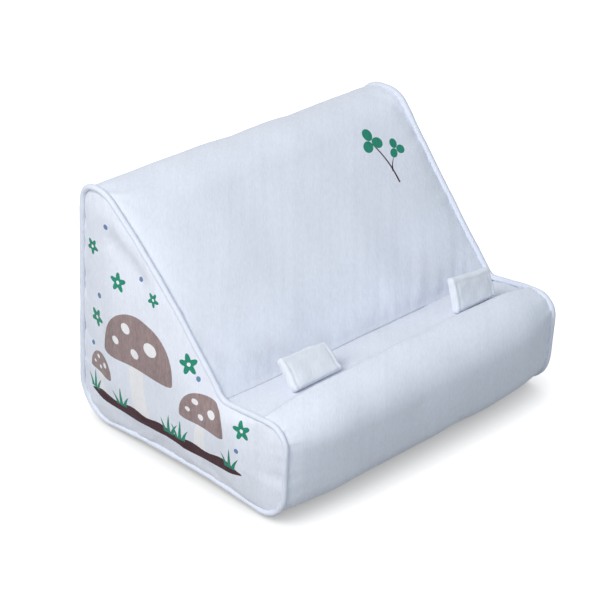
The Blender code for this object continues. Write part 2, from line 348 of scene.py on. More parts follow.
class SideMap:
    """A side panel's seam as seen from its centre."""

    def __init__(self, side):
        spokes = side_loop(side) - SIDE_CENTRE
        angles = np.unwrap(np.arctan2(spokes[:, 1], spokes[:, 0]))
        order = np.argsort(angles)
        self.angles = angles[order]
        self.reach = np.linalg.norm(spokes, axis=1)[order]

    def polar(self, y, z):
        """Share of the way from the centre out to the seam, and the distance that is left."""
        dy, dz = y - SIDE_CENTRE[0], z - SIDE_CENTRE[1]
        reach = np.interp(np.arctan2(dz, dy), self.angles, self.reach, period=2 * np.pi)
        distance = np.hypot(dy, dz)
        return distance / reach, reach - distance


SIDE_MAPS = {-1: SideMap(-1), 1: SideMap(1)}


def side_height(side, y, z):
    """How far a side panel swells beyond its seam."""
    share, _ = SIDE_MAPS[side].polar(y, z)
    return SIDE_SWELL * np.clip(1 - share ** 2, 0, 1) ** SIDE_CROWN


def bag_geometry():
    """Vertices, faces and held vertices of the closed bag, and the places of its rows."""
    v = np.linspace(0, PERIMETER, BAG_ROWS, endpoint=False)
    crease_row = np.argmin(np.abs(v - CREASE_AT))
    v[crease_row] = CREASE_AT
    turn = np.linspace(-1, 1, BAG_COLUMNS) * BAG_TURN
    x = SEAM_X * np.sin(turn) / math.sin(BAG_TURN)
    grid_x, grid_v = (table.ravel() for table in np.meshgrid(x, v, indexing="ij"))
    vertices = [on_floor(smooth_section(grid_x, grid_v))]
    faces = []
    for i in range(BAG_COLUMNS - 1):
        for j in range(BAG_ROWS):
            a, b = i * BAG_ROWS + j, i * BAG_ROWS + (j + 1) % BAG_ROWS
            faces.append((a, a + BAG_ROWS, b + BAG_ROWS, b))
    held = (vertices[0][:, 2] < FLOOR_SOFTNESS).reshape(BAG_COLUMNS, BAG_ROWS)
    held[[0, -1]] = True
    held[:, crease_row] = True
    total = len(vertices[0])
    following = [(j, (j + 1) % BAG_ROWS) for j in range(BAG_ROWS)]
    for side, outer in ((-1, 0), (1, total - BAG_ROWS)):
        # Faces of the right side run the other way round, so that they look outwards too
        turn = -side
        edge = vertices[0][outer:outer + BAG_ROWS, 1:] - SECTION_ZERO
        for ring in range(BAG_RINGS - 1, 0, -1):
            yz = SIDE_CENTRE + (edge - SIDE_CENTRE) * (ring / BAG_RINGS)
            height = side * (SEAM_X + side_height(side, *yz.T))
            vertices.append(np.column_stack([height, yz + SECTION_ZERO]))
            faces += [(outer + j, outer + k, total + k, total + j)[::turn] for j, k in following]
            outer = total
            total += BAG_ROWS
        vertices.append(np.array([[side * (SEAM_X + SIDE_SWELL), *(SIDE_CENTRE + SECTION_ZERO)]]))
        faces += [(outer + j, outer + k, total)[::turn] for j, k in following]
        total += 1
    return np.concatenate(vertices), faces, np.flatnonzero(held).tolist(), v


def mesh_object(name, vertices, faces, materials=()):
    mesh = bpy.data.meshes.new(name)
    mesh.from_pydata([tuple(v) for v in vertices], [], faces)
    mesh.update()
    mesh.shade_smooth()
    for material in materials:
        mesh.materials.append(material)
    piece = bpy.data.objects.new(name, mesh)
    bpy.context.scene.collection.objects.link(piece)
    return piece


def blow_up(vertices, faces, held):
    """How far each vertex moves when the bag is filled, its seams, crease and underside held."""
    bag = mesh_object("bag", vertices, faces)
    group = bag.vertex_groups.new(name="held")
    group.add(held, 1.0, "REPLACE")
    cloth = bag.modifiers.new("Cloth", "CLOTH")
    settings = cloth.settings
    settings.quality = 6
    settings.mass = 0.2
    settings.tension_stiffness = BAG_STIFFNESS
    settings.compression_stiffness = BAG_STIFFNESS
    settings.shear_stiffness = BAG_STIFFNESS / 3
    settings.bending_stiffness = BAG_BENDING
    settings.use_pressure = True
    settings.uniform_pressure_force = BAG_PRESSURE
    settings.shrink_min = BAG_SLACK
    settings.vertex_group_mass = "held"
    settings.effector_weights.gravity = 0.0
    scene = bpy.context.scene
    for number in range(1, BAG_FRAMES + 1):
        scene.frame_set(number)
    filled = bag.evaluated_get(bpy.context.evaluated_depsgraph_get()).to_mesh()
    after = np.empty(len(filled.vertices) * 3)
    filled.vertices.foreach_get("co", after)
    moved = after.reshape(-1, 3) - vertices
    bpy.data.objects.remove(bag, do_unlink=True)
    scene.frame_set(1)
    length = np.linalg.norm(moved, axis=1)[:, None]
    return moved * np.minimum(1, MOST_SWELL / np.maximum(length, SHORTEST))


# Shares of the simulated movement that are kept, and the width over which they change at the crease
KEPT_SWELL = 0.17
KEPT_ON_ROLL = 0.05
ROLL_BLEND = 0.006
WIDEST_WRINKLE = 0.030


def without_wide_swell(table, spacing):
    """A table of movements, closed along its columns, less its wide swell: the wrinkles stay."""
    wide = table.copy()
    passes = round((WIDEST_WRINKLE / spacing) ** 2 * 2)
    for _ in range(passes):
        ends = np.concatenate([wide[:1], wide, wide[-1:]])
        wide = (ends[:-2] + 2 * wide + ends[2:]) / 4
        wide = (np.roll(wide, 1, axis=1) + 2 * wide + np.roll(wide, -1, axis=1)) / 4
    return table - wide


def inflate():
    """The bag, its movement when filled, the places of its rows, and the movement as the wrap's table."""
    vertices, faces, held, v = bag_geometry()
    moved = blow_up(vertices, faces, held)
    count = BAG_COLUMNS * BAG_ROWS
    wrap = without_wide_swell(moved[:count].reshape(BAG_COLUMNS, BAG_ROWS, 3), PERIMETER / BAG_ROWS)
    moved[:count] = wrap.reshape(-1, 3)
    return vertices, faces, moved, v, wrap


bag_vertices, bag_faces, bag_moved, bag_v, wrap_moved = inflate()


def wrap_base(x, v):
    """The swollen cover, with its share of what the simulation moved."""
    turn = np.arcsin(np.clip(x / SEAM_X, -1, 1) * math.sin(BAG_TURN))
    rows = (turn / BAG_TURN + 1) / 2 * (BAG_COLUMNS - 1)
    around = np.mod(v, PERIMETER)
    on_roll = 1 / (1 + np.exp((around - CREASE_AT) / ROLL_BLEND))
    kept = KEPT_SWELL + (KEPT_ON_ROLL - KEPT_SWELL) * on_roll
    return smooth_section(x, v) + kept[:, None] * table_at(wrap_moved, rows, around / PERIMETER * BAG_ROWS)


def wrap_surface(x, v):
    """The finished wrap: the swollen cover, wrinkled along its normals and resting on the floor."""
    points, normals = with_normals(wrap_base, x, v)
    return on_floor(points + normals * wrap_detail(x, v)[:, None])


SIDE_DIP = 0.0012
SIDE_DIP_REACH = 0.0040
SIDE_PUCKER = (41, 0.0006, 0.050, 0.012)
SIDE_PUCKER_REACH = 0.016
SIDE_LUMPS = (51, 0.0010, 0.130, 0.045)
# The lumps fade over this outer share of the way to the seam
SIDE_LUMPS_RIM = 0.3
SIDE_INSET = 0.0006
# A soft dent in the left panel, along a stretch
DENT_START = (0.030, 0.142)
DENT_END = (0.062, 0.162)
DENT_DEPTH = 0.0022
DENT_WIDTH = 0.009


def to_stretch(y, z, start, end):
    """Distance of points to the straight stretch between two places."""
    start, end = np.array(start), np.array(end)
    along = end - start
    t = np.clip(((y - start[0]) * along[0] + (z - start[1]) * along[1]) / (along @ along), 0, 1)
    return np.hypot(y - start[0] - along[0] * t, z - start[1] - along[1] * t)


class SideSurface:
    """The finished side panel over (y, z) of the section."""

    def __init__(self, side):
        self.side = side
        self.map = SIDE_MAPS[side]
        size = (BAG_RINGS - 1) * BAG_ROWS
        first = BAG_COLUMNS * BAG_ROWS + (0 if side < 0 else size + 1)
        seam = wrap_moved[0 if side < 0 else -1]
        rings = bag_moved[first:first + size].reshape(-1, BAG_ROWS, 3)
        centre = np.repeat(bag_moved[first + size][None], BAG_ROWS, axis=0)
        self.moved = np.concatenate([seam[None], rings, centre[None]])
        x = np.full(BAG_ROWS, side * SEAM_X)
        loop = smooth_section(x, bag_v)[:, 1:] - SECTION_ZERO - SIDE_CENTRE
        turns = np.unwrap(np.arctan2(loop[:, 1], loop[:, 0]))
        self.start = turns[0]
        self.ahead = np.append(self.start - turns, 2 * np.pi)

    def column(self, y, z):
        """Fractional column of the simulated rings at an angle about the panel's centre."""
        angle = np.arctan2(z - SIDE_CENTRE[1], y - SIDE_CENTRE[0])
        return np.interp(np.mod(self.start - angle, 2 * np.pi), self.ahead, np.arange(BAG_ROWS + 1))

    def __call__(self, y, z):
        share, inward = self.map.polar(y, z)
        column = self.column(y, z)
        moved = table_at(self.moved, np.clip(1 - share, 0, 1) * BAG_RINGS, column)
        height = side_height(self.side, y, z) + KEPT_SWELL * self.side * moved[:, 0]
        height -= SIDE_DIP * fade(inward, SIDE_DIP_REACH)
        puckers = waves(column / BAG_ROWS * PERIMETER, SIDE_PUCKER, self.side)
        height += puckers * fade(inward, SIDE_PUCKER_REACH) * np.clip(share, 0, 1)
        lumpy = lumps(y, z, SIDE_LUMPS, self.side)
        height += lumpy * np.clip(1 - share, 0, SIDE_LUMPS_RIM) / SIDE_LUMPS_RIM
        if self.side < 0:
            height -= DENT_DEPTH * hump(to_stretch(y, z, DENT_START, DENT_END), DENT_WIDTH)
        return np.column_stack([self.side * (SEAM_X + height), np.column_stack([y, z]) + SECTION_ZERO])


# Prints: each motif is a closed outline in the panel's own two coordinates

MOTIF_STEPS = 28


def ellipse(centre, width, height, turn=0.0, wave=0.0, lobes=0):
    """Ellipse, or with lobes a rosette, as (a, b) points."""
    angles = np.linspace(0, 2 * np.pi, MOTIF_STEPS * (2 if lobes else 1), endpoint=False)
    reach = 1 + wave * np.cos(lobes * angles)
    a, b = width / 2 * reach * np.cos(angles), height / 2 * reach * np.sin(angles)
    return np.column_stack([centre[0] + a * math.cos(turn) - b * math.sin(turn),
                            centre[1] + a * math.sin(turn) + b * math.cos(turn)])


# How far a cap's rim hangs at its ends and draws in at its middle, in shares of the cap's height
CAP_HANG = 0.16
CAP_HOLLOW = 0.10


def cap(centre, width, height):
    """Mushroom cap: a dome over a shallow hollow rim."""
    t = np.linspace(0, np.pi, MOTIF_STEPS)
    dome = np.column_stack([np.cos(t), np.sin(t) ** 0.9])
    within = np.sin(t[1:-1])
    rim = np.column_stack([-np.cos(t[1:-1]), CAP_HOLLOW * within ** 4 - CAP_HANG * within ** 0.7])
    return np.concatenate([dome, rim]) * (width / 2, height) + centre


def stem(foot, top, foot_width, top_width):
    """Tapered stem that bows a little to one side."""
    t = np.linspace(0, 1, 9)
    bow = 0.06 * (top[1] - foot[1]) * np.sin(np.pi * t)
    middle = foot[0] + (top[0] - foot[0]) * t + bow
    height = foot[1] + (top[1] - foot[1]) * t
    half = (foot_width + (top_width - foot_width) * t ** 0.6) / 2
    return np.concatenate([np.column_stack([middle + half, height]),
                           np.column_stack([middle - half, height])[::-1]])


def blade(foot, length, lean, width):
    """Blade of grass: a curved tip on a narrow foot."""
    t = np.linspace(0, 1, 7)
    middle = foot[0] + length * math.sin(lean) * t ** 1.6
    height = foot[1] + length * math.cos(lean) * t
    half = width / 2 * (1 - t) ** 0.7
    right = np.column_stack([middle + half, height])
    left = np.column_stack([middle - half, height])[:-1]
    return np.concatenate([right, left[::-1]])


GROUND_TOP = 0.031
GROUND_BOTTOM = 0.022
GROUND_FRONT = -0.078
GROUND_BACK = 0.092
GROUND_TAPER = 0.014
# Stems and grass start this far below the soil's top
ROOTED = 0.003


def ground():
    """Strip of soil with an uneven top and tapered ends."""
    y = np.linspace(GROUND_BACK, GROUND_FRONT, 36)
    taper = np.minimum(1, np.minimum(GROUND_BACK - y, y - GROUND_FRONT) / GROUND_TAPER + 0.15)
    top = GROUND_TOP + 0.0012 * np.sin(y * 190) + 0.0008 * np.sin(y * 71)
    bottom = GROUND_BOTTOM + 0.0010 * np.sin(y * 83 + 1)
    middle = (GROUND_TOP + GROUND_BOTTOM) / 2
    upper = np.column_stack([y, middle + (top - middle) * taper])
    lower = np.column_stack([y, middle + (bottom - middle) * taper])[::-1]
    return np.concatenate([upper, lower])


# Mushrooms as (y of the foot, y and z of the cap's rim, cap width, cap height, stem width)
MUSHROOMS = ((0.028, 0.033, 0.072, 0.078, 0.040, 0.015), (-0.034, -0.037, 0.052, 0.048, 0.024, 0.010),
             (0.074, 0.078, 0.047, 0.030, 0.016, 0.007))
# Spots of a cap as (shift, rise, size), in shares of its width and, for the rise, its height
SPOTS = ((-0.20, 0.50, 0.17), (0.16, 0.66, 0.13), (0.02, 0.24, 0.12), (0.31, 0.30, 0.10))
TUFTS = (-0.066, -0.012, 0.000, 0.054, 0.088)
# Blades of a tuft as (shift, lean, length)
BLADES = ((-0.0035, -0.5, 0.013), (0.0, -0.05, 0.017), (0.0035, 0.45, 0.012))
BLADE_WIDTH = 0.0038
# Blossoms and dots as (y, z, size)
BLOSSOMS = ((-0.078, 0.064, 0.012), (0.082, 0.092, 0.012), (-0.020, 0.094, 0.013), (0.056, 0.132, 0.012),
            (0.086, 0.150, 0.010), (0.018, 0.132, 0.009))
PETALS = 5
PETAL_DEPTH = 0.34
BLOSSOM_EYE = 0.25
DOTS = ((-0.030, 0.086, 0.0042), (0.078, 0.112, 0.0046), (0.034, 0.142, 0.0040), (0.070, 0.172, 0.0044),
        (-0.074, 0.046, 0.0040), (0.090, 0.066, 0.0040))


def side_motifs():
    """The left panel's print, as (colour, outline) from the lowest layer to the highest."""
    motifs = []
    for foot, y, z, width, height, stem_width in MUSHROOMS:
        motifs.append(("pale", stem((foot, GROUND_TOP - ROOTED), (y, z), stem_width * 1.3, stem_width)))
        motifs.append(("taupe", cap((y, z), width, height)))
        for shift, rise, size in SPOTS:
            spot = (y + shift * width, z + rise * height)
            motifs.append(("pale", ellipse(spot, size * width, size * width * 0.8, 0.2)))
    motifs.append(("soil", ground()))
    for y in TUFTS:
        for shift, lean, length in BLADES:
            motifs.append(("green", blade((y + shift, GROUND_TOP - ROOTED), length, lean, BLADE_WIDTH)))
    for y, z, size in BLOSSOMS:
        motifs.append(("green", ellipse((y, z), size, size, 0.4 + 20 * y, PETAL_DEPTH, PETALS)))
        motifs.append(("pale", ellipse((y, z), size * BLOSSOM_EYE, size * BLOSSOM_EYE)))
    for y, z, size in DOTS:
        motifs.append(("blue", ellipse((y, z), size, size)))
    return motifs


CLOVER_X = 0.092
CLOVER_TOP = 0.018
CLOVER_HEIGHT = 0.042
CLOVER_SIZES = (0.0095, 0.0072)
LEAF_TURNS = (math.pi / 2, math.pi / 2 + 2.09, math.pi / 2 - 2.09)
# Distance of a leaf from the clover's middle, its length and its width, in shares of the clover's size
LEAF_OUT, LEAF_LENGTH, LEAF_WIDTH = 0.62, 1.1, 0.95


def clover_motifs():
    """Two clovers on one bent stalk, near the top of the backrest; v runs up along the cloth."""
    top = SHOULDER_AT - CLOVER_TOP
    foot = (CLOVER_X + 0.006, top - CLOVER_HEIGHT)
    motifs = [("soil", stem(foot, (CLOVER_X, top - 0.006), 0.0016, 0.0012))]
    motifs.append(("soil", blade((foot[0] - 0.0005, foot[1] + 0.010), 0.016, 0.75, 0.0018)))
    for (x, v), size in zip(((CLOVER_X, top - 0.004), (foot[0] + 0.013, foot[1] + 0.024)), CLOVER_SIZES):
        for turn in LEAF_TURNS:
            place = (x + size * LEAF_OUT * math.cos(turn), v + size * LEAF_OUT * math.sin(turn))
            motifs.append(("green", ellipse(place, size * LEAF_LENGTH, size * LEAF_WIDTH, turn)))
    return motifs


def inside(outline_points, a, b):
    """Whether points lie inside a closed outline."""
    within = np.zeros(len(a), bool)
    previous = outline_points[-1]
    for current in outline_points:
        crosses = (current[1] > b) != (previous[1] > b)
        with np.errstate(divide="ignore", invalid="ignore"):
            edge = (previous[0] - current[0]) * (b - current[1]) / (previous[1] - current[1]) + current[0]
        within ^= crosses & (a < edge)
        previous = current
    return within


FINE = 0.0008
FINE_ALONG = 0.0017
# A grid place nearer to another point than this share of the grid is left out
GRID_CLEAR = 0.55


def fine_lines():
    """Closer rows of places (x, v) on the wrap, beside the lip, the crease and the seams."""
    along = np.arange(-SEAM_X + 2 * FINE, SEAM_X - 2 * FINE, FINE_ALONG)
    rows = [LIP_AT + LIP_GROOVE_AT + FINE * k for k in range(-4, 5)]
    rows += [CREASE_AT + side * FINE * k for side in (-1, 1) for k in (1, 2, 3, 5)]
    lines = [np.column_stack([along, np.full(len(along), row)]) for row in rows]
    around = np.arange(FRONT_EDGE_AT - PERIMETER, FRONT_EDGE_AT, FINE_ALONG)
    columns = [side * (SEAM_X - FINE * k) for side in (-1, 1) for k in (1, 2, 4)]
    lines += [np.column_stack([np.full(len(around), column), around]) for column in columns]
    return np.concatenate(lines)


def nearest(points):
    """Function that gives the distance from a flat place to the nearest of some points."""
    tree = KDTree(len(points))
    for i, (a, b) in enumerate(points):
        tree.insert((a, b, 0), i)
    tree.balance()
    return lambda place: tree.find((*place, 0))[2]


def flat_panel(border, motifs, extra):
    """Triangles of a panel's two coordinates that follow its border and its print, with their colours."""
    points, edges = [], []
    for ring in [border] + [outline_points for _, outline_points in motifs]:
        first, count = len(points), len(ring)
        edges += [(first + i, first + (i + 1) % count) for i in range(count)]
        points += [tuple(point) for point in ring]
    to_outline = nearest(points)
    low, high = border.min(axis=0), border.max(axis=0)
    for place in extra:
        within = np.all(place > low + FINE / 2) and np.all(place < high - FINE / 2)
        if within and to_outline(place) > FINE / 2:
            points.append(tuple(place))
    to_point = nearest(points)
    rows = [np.arange(low[k] + GRID / 2, high[k], GRID) for k in (0, 1)]
    a, b = (table.ravel() for table in np.meshgrid(*rows, indexing="ij"))
    for place in np.column_stack([a, b])[inside(border, a, b)]:
        if to_point(place) > GRID * GRID_CLEAR:
            points.append(tuple(place))
    flat = delaunay_2d_cdt([Vector(point) for point in points], edges, [], 1, POINT_MERGE)
    places = np.array([tuple(point) for point in flat[0]])
    triangles = np.array(flat[2])
    centres = places[triangles].mean(axis=1)
    colours = np.full(len(triangles), "cloth", dtype=object)
    for colour, outline_points in motifs:
        colours[inside(outline_points, centres[:, 0], centres[:, 1])] = colour
    return places, triangles, colours


def resampled(points, spacing):
    """A closed outline with even spacing."""
    closed = np.concatenate([points, points[:1]])
    lengths = np.concatenate([[0], np.cumsum(np.linalg.norm(np.diff(closed, axis=0), axis=1))])
    even = np.linspace(0, lengths[-1], max(8, round(lengths[-1] / spacing)), endpoint=False)
    return np.column_stack([np.interp(even, lengths, closed[:, k]) for k in (0, 1)])


def box_outline(low, high, spacing):
    """Rectangle with even spacing along each side."""
    corners = np.array([(low[0], low[1]), (high[0], low[1]), (high[0], high[1]), (low[0], high[1])])
    sides = []
    for start, end in zip(corners, np.roll(corners, -1, axis=0)):
        steps = max(1, round(np.linalg.norm(end - start) / spacing))
        sides.append(start + (end - start) * np.arange(steps)[:, None] / steps)
    return np.concatenate(sides)


def cloth_panel(name, surface, border, motifs, colours, node, flip=False, extra=()):
    """Sewn panel of cloth: the printed surface, given its thickness to the inside."""
    places, triangles, painted = flat_panel(border, motifs, extra)
    if flip:
        triangles = triangles[:, ::-1]
    points = surface(places[:, 0], places[:, 1])
    names = ["cloth"] + sorted({colour for colour, _ in motifs})
    panel = mesh_object(name, points, triangles.tolist(), [colours[each] for each in names])
    panel.data.polygons.foreach_set("material_index", [names.index(each) for each in painted])
    solid = panel.modifiers.new("Thickness", "SOLIDIFY")
    solid.thickness = CLOTH_THICKNESS
    solid.offset = -1
    return dress(panel, node)


def dress(piece, node):
    """Puts a piece on the stand's body, in the place of a solid."""
    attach(piece, "root")
    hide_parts(node)
    return piece


# Materials

WHITE = (0.745, 0.782, 0.868)
TAB_WHITE = (0.735, 0.770, 0.835)
PIPE_WHITE = (0.715, 0.755, 0.850)
TAUPE = (0.300, 0.225, 0.225)
SOIL = (0.060, 0.026, 0.034)
GREEN = (0.022, 0.245, 0.160)
BLUE = (0.140, 0.235, 0.420)
PALE = (0.830, 0.830, 0.850)


class Nodes:
    """Short calls that add shader nodes to a material and link them."""

    def __init__(self, material):
        material.use_nodes = True
        self.tree = material.node_tree
        self.tree.nodes.clear()

    def add(self, kind, inputs=None, **settings):
        node = self.tree.nodes.new(kind)
        for key, value in settings.items():
            setattr(node, key, value)
        for key, value in (inputs or {}).items():
            if isinstance(value, bpy.types.NodeSocket):
                self.tree.links.new(value, node.inputs[key])
            else:
                node.inputs[key].default_value = value
        return node

    def math(self, operation, first, second):
        return self.add("ShaderNodeMath", {0: first, 1: second}, operation=operation).outputs[0]

    def mapped(self, vector, **inputs):
        return self.add("ShaderNodeMapping", {"Vector": vector, **inputs}).outputs["Vector"]

    def noise(self, place, scale, detail):
        inputs = {"Vector": place, "Scale": scale, "Detail": detail}
        return self.add("ShaderNodeTexNoise", inputs).outputs["Fac"]


NAP_SIZE = 0.0011
PILE_SIZE = 0.0032
PATCH_SIZE = 0.045
NAP_LENGTH = 0.0045
STREAK_WIDTH = 0.0045
STREAK_LENGTH = 0.11
COMBED = (1 / NAP_SIZE, 1 / NAP_LENGTH, 1 / NAP_LENGTH)
STREAKS = (1 / STREAK_WIDTH, 1 / STREAK_LENGTH, 1 / STREAK_LENGTH)
# The pile is brushed aslant: the streaks run upright across this turn about Z
BRUSHED_TURN = math.radians(43)


def velour(name, colour, streaks=0.05, sheen=0.30, patches=0.035, grain=0.09):
    """Short-pile velour: brushed streaks, paler patches, a fine nap and a sheen at glancing angles."""
    material = bpy.data.materials.new(name)
    nodes = Nodes(material)
    place = nodes.add("ShaderNodeTexCoord").outputs["Object"]
    turned = nodes.mapped(place, Rotation=(0.0, 0.0, BRUSHED_TURN))
    brushed = nodes.noise(nodes.mapped(turned, Scale=STREAKS), 1.0, 2.0)
    patchy = nodes.noise(place, 1 / PATCH_SIZE, 2.0)
    pile = nodes.noise(place, 1 / PILE_SIZE, 3.0)
    nap = nodes.noise(nodes.mapped(turned, Scale=COMBED), 1.0, 3.0)
    shade = 1.0
    for noise, amount in ((brushed, streaks), (patchy, patches), (nap, grain)):
        part = nodes.math("MULTIPLY", nodes.math("SUBTRACT", noise, 0.5), 2 * amount)
        shade = nodes.math("ADD", shade, part)
    tinted = nodes.add("ShaderNodeVectorMath", {0: colour, "Scale": shade}, operation="SCALE")
    height = nodes.math("ADD", nodes.math("MULTIPLY", nap, 0.6), pile)
    bump = nodes.add("ShaderNodeBump", {"Height": height, "Strength": 0.35, "Distance": 0.0005})
    shader = nodes.add("ShaderNodeBsdfPrincipled", {
        "Base Color": tinted.outputs["Vector"], "Roughness": 0.92, "Normal": bump.outputs["Normal"],
        "Sheen Weight": sheen, "Sheen Roughness": 0.45, "Sheen Tint": (1.0, 1.0, 1.0, 1.0),
        "Specular IOR Level": 0.15})
    nodes.add("ShaderNodeOutputMaterial", {"Surface": shader.outputs["BSDF"]})
    return material


THREAD = 0.0012
# A wave texture's bands are this far apart at a scale of 1
BAND = 0.1 * math.pi
BASE_GREY = (0.30, 0.32, 0.37, 1.0)


def woven(name, colour):
    """Plain woven cloth: threads that cross over and under."""
    material = bpy.data.materials.new(name)
    nodes = Nodes(material)
    place = nodes.add("ShaderNodeTexCoord").outputs["Object"]
    threads = [nodes.add("ShaderNodeTexWave", {"Vector": place, "Scale": BAND / THREAD}, bands_direction=axis)
               for axis in ("X", "Y")]
    height = nodes.math("MULTIPLY", threads[0].outputs["Fac"], threads[1].outputs["Fac"])
    bump = nodes.add("ShaderNodeBump", {"Height": height, "Strength": 0.5, "Distance": 0.0004})
    shader = nodes.add("ShaderNodeBsdfPrincipled", {"Base Color": colour, "Roughness": 0.85,
                                                    "Normal": bump.outputs["Normal"]})
    nodes.add("ShaderNodeOutputMaterial", {"Surface": shader.outputs["BSDF"]})
    return material


def panel_colours():
    """The velour of the panels and of what is printed on them."""
    return {"cloth": velour("cloth", WHITE),
            "taupe": velour("taupe_print", TAUPE, streaks=0.25, sheen=0.25, patches=0.08, grain=0.38),
            "soil": velour("dark_print", SOIL, streaks=0.15, sheen=0.12, patches=0.08, grain=0.35),
            "green": velour("green_print", GREEN, streaks=0.15, sheen=0.18, patches=0.08, grain=0.30),
            "blue": velour("blue_print", BLUE, streaks=0.10, sheen=0.18, patches=0.06, grain=0.12),
            "pale": velour("pale_print", PALE)}


def plain_cloth(name, colour, sheen):
    """Velour with a more even nap."""
    return velour(name, colour, streaks=0.02, sheen=sheen, patches=0.03, grain=0.08)


# The sewn pieces


def build_wrap(colours):
    """Roll, backrest and base, sewn along the crease and under the base's edges."""
    lines = fine_lines()
    stretches = (("roll_cloth", "roll_panel", "wrap_cloth", FRONT_EDGE_AT - PERIMETER, CREASE_AT, []),
                 ("backrest_cloth", "backrest_panel", "wrap_cloth", CREASE_AT, BACK_EDGE_AT, clover_motifs()),
                 ("base_cloth", "base_panel", "base_cloth", BACK_EDGE_AT, FRONT_EDGE_AT, []))
    for name, node, slot, start, end, motifs in stretches:
        border = box_outline((-SEAM_X, start), (SEAM_X, end), GRID)
        cloths = {"cloth": woven("base_weave", BASE_GREY)} if slot == "base_cloth" else colours
        panel = cloth_panel(name, wrap_surface, border, motifs, cloths, node, extra=lines)


def build_sides(colours):
    """The two end panels; the left one carries the print."""
    for side, name, node in ((-1, "left_side_cloth", "left_side_panel"),
                             (1, "right_side_cloth", "right_side_panel")):
        loop = resampled(side_loop(side), GRID)
        inward = SIDE_INSET / np.linalg.norm(loop - SIDE_CENTRE, axis=1)[:, None]
        border = loop + (SIDE_CENTRE - loop) * inward
        motifs = side_motifs() if side < 0 else []
        surface = SideSurface(side)
        panel = cloth_panel(name, surface, border, motifs, colours, node, flip=side < 0)


TUBE_SPACING = 0.0020
TUBE_SIDES = 14
PIPE_OUT = -0.0003
PIPE_VISIBLE = 0.92
# How the cord strays outwards and sideways, and the share by which its radius varies
PIPE_WOBBLE = (61, 0.0001, 0.090, 0.030)
PIPE_UNEVEN = (63, 0.03, 0.040, 0.009)
PIPE_SWAY = (65, 0.0001, 0.100, 0.040)
PIPE_LOWEST = 0.0005


def build_pipings(material):
    """Piping: a velour-covered cord along each side seam, a little uneven as sewn cord is."""
    for side, name, node in ((-1, "left_piping_cord", "left_piping"),
                             (1, "right_piping_cord", "right_piping")):
        loop = resampled(side_loop(side), TUBE_SPACING)
        count = len(loop)
        ahead = np.roll(loop, -1, axis=0) - np.roll(loop, 1, axis=0)
        ahead /= np.linalg.norm(ahead, axis=1)[:, None]
        outward = np.column_stack([-ahead[:, 1], ahead[:, 0]])
        v = np.arange(count) * TUBE_SPACING
        out = PIPE_OUT + waves(v, PIPE_WOBBLE, side)
        radius = PIPE_VISIBLE * PIPE_RADIUS * (1 + waves(v, PIPE_UNEVEN, side))
        turn = np.arange(TUBE_SIDES) / TUBE_SIDES * 2 * np.pi
        middle = loop + outward * out[:, None]
        sway = side * SEAM_X + waves(v, PIPE_SWAY, side)
        yz = middle[:, None, :] + outward[:, None, :] * (radius[:, None] * np.cos(turn))[:, :, None]
        x = sway[:, None] + radius[:, None] * np.sin(turn)
        points = np.concatenate([x[:, :, None], yz + SECTION_ZERO], axis=2).reshape(-1, 3)
        points[:, 2] = np.maximum(points[:, 2], PIPE_LOWEST)
        faces = []
        for i in range(count):
            here, there = i * TUBE_SIDES, (i + 1) % count * TUBE_SIDES
            for j in range(TUBE_SIDES):
                k = (j + 1) % TUBE_SIDES
                faces.append((here + j, there + j, there + k, here + k))
        cord = mesh_object(name, points, faces, [material])
        turn_outside(cord)
        dress(cord, node)


def turn_outside(piece):
    """Makes a closed piece's faces look outwards."""
    shape = bmesh.new()
    shape.from_mesh(piece.data)
    if shape.calc_volume(signed=True) < 0:
        bmesh.ops.reverse_faces(shape, faces=shape.faces)
    shape.to_mesh(piece.data)
    shape.free()


TAB_HEIGHT = 0.0255
TAB_THICKNESS = 0.0072
TAB_ROUND = 0.0026
TAB_TAPER = 0.004
TAB_CHANNEL = 0.0005
TAB_CHANNEL_AT = 0.0040
TAB_CHANNEL_WIDTH = 0.0012
TAB_BULGE = 0.0007
TAB_LUMPS = (71, 0.00025, 0.040, 0.012)
TAB_SWAY = (72, 0.0004, 0.030, 0.010)
TAB_TOP = (73, 0.0005, 0.050, 0.014)
TAB_SUNK = 0.0015
TAB_BACK = 0.0045
TAB_STEPS = (44, 10, 24)
# Tabs as (left end, right end, lean back in degrees, rise of the left end of the top edge)
TABS = {"left_tab": (-0.104, -0.056, 47.0, 0.0014), "right_tab": (0.062, 0.105, 17.0, 0.0026)}


def cube_grid(steps):
    """Points and faces of a cube from -1 to 1, each side a grid that is finer towards its edges."""
    points, faces = [], []
    for axis in range(3):
        u_axis, w_axis = (axis + 1) % 3, (axis + 2) % 3
        u_steps, w_steps = steps[u_axis], steps[w_axis]
        for end in (-1, 1):
            first = len(points)
            for i in range(u_steps + 1):
                for j in range(w_steps + 1):
                    corner = [0.0, 0.0, 0.0]
                    corner[axis] = end
                    corner[u_axis] = math.sin((2 * i / u_steps - 1) * math.pi / 2)
                    corner[w_axis] = math.sin((2 * j / w_steps - 1) * math.pi / 2)
                    points.append(corner)
            for i in range(u_steps):
                for j in range(w_steps):
                    a = first + i * (w_steps + 1) + j
                    quad = (a, a + w_steps + 1, a + w_steps + 2, a + 1)
                    faces.append(quad if end > 0 else quad[::-1])
    return np.array(points), faces


